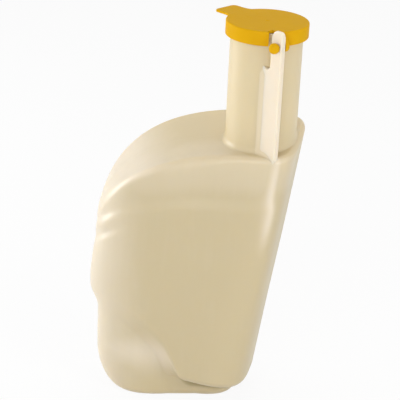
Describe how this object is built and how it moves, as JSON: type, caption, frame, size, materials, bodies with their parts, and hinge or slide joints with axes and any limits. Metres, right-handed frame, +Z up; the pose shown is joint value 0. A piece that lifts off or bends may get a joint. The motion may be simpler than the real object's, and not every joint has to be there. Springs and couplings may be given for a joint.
{
  "type": "hinged-lid bottle",
  "caption": "Hollow flat-backed plastic bottle with a terraced front, an off-centre straight round neck and a yellow snap lid that swings on a pin through a moulded post.",
  "frame": {"origin": "middle of the flat patch that the bottle stands on", "axes": "+Z up along the neck, +X to the right along the wide front, -Y to the front"},
  "size_m": [0.1392, 0.068, 0.2742],
  "materials": {
    "milky_plastic": "milky, slightly translucent polypropylene",
    "yellow_plastic": "solid yellow, soft sheen"
  },
  "bodies": {
    "bottle": {"bottle": "milky_plastic"},
    "lid": {"lid": "yellow_plastic", "hinge_pin": "yellow_plastic"}
  },
  "joints": [
    {"name": "lid_hinge", "type": "hinge", "parent": "bottle", "child": "lid", "pos_m": [0.06354, -0.02767, 0.2634], "axis": [0.5592, 0.829, 0], "range_deg": [0, 180]}
  ]
}
